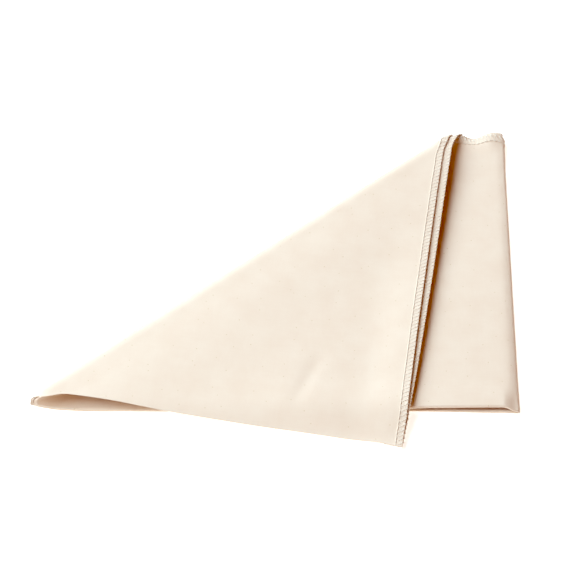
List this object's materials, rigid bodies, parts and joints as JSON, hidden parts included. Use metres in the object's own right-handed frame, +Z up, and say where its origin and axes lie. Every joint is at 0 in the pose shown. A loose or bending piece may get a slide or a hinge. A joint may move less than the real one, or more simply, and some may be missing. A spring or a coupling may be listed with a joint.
{
  "type": "bakers couche cloth",
  "caption": "Unbleached canvas proofing cloth with overlocked long edges, folded into a flat strip with its open end turned over as a triangular flap.",
  "frame": {"origin": "middle of the underside of the folded cloth's bounding box", "axes": "+X along the folded strip, from its turned-over open end to its crosswise fold; +Y from the lengthwise fold at the front to the overlocked edges at the back; +Z up"},
  "size_m": [0.426, 0.374, 0.023],
  "materials": {
    "cotton_canvas": "matte plain weave, unbleached",
    "edge_thread": "matte spun sewing thread"
  },
  "bodies": {
    "root": {"canvas_panel": "cotton_canvas", "needle_thread_a": "edge_thread", "upper_looper_a": "edge_thread", "lower_looper_a": "edge_thread", "needle_thread_b": "edge_thread", "upper_looper_b": "edge_thread", "lower_looper_b": "edge_thread"}
  },
  "joints": []
}
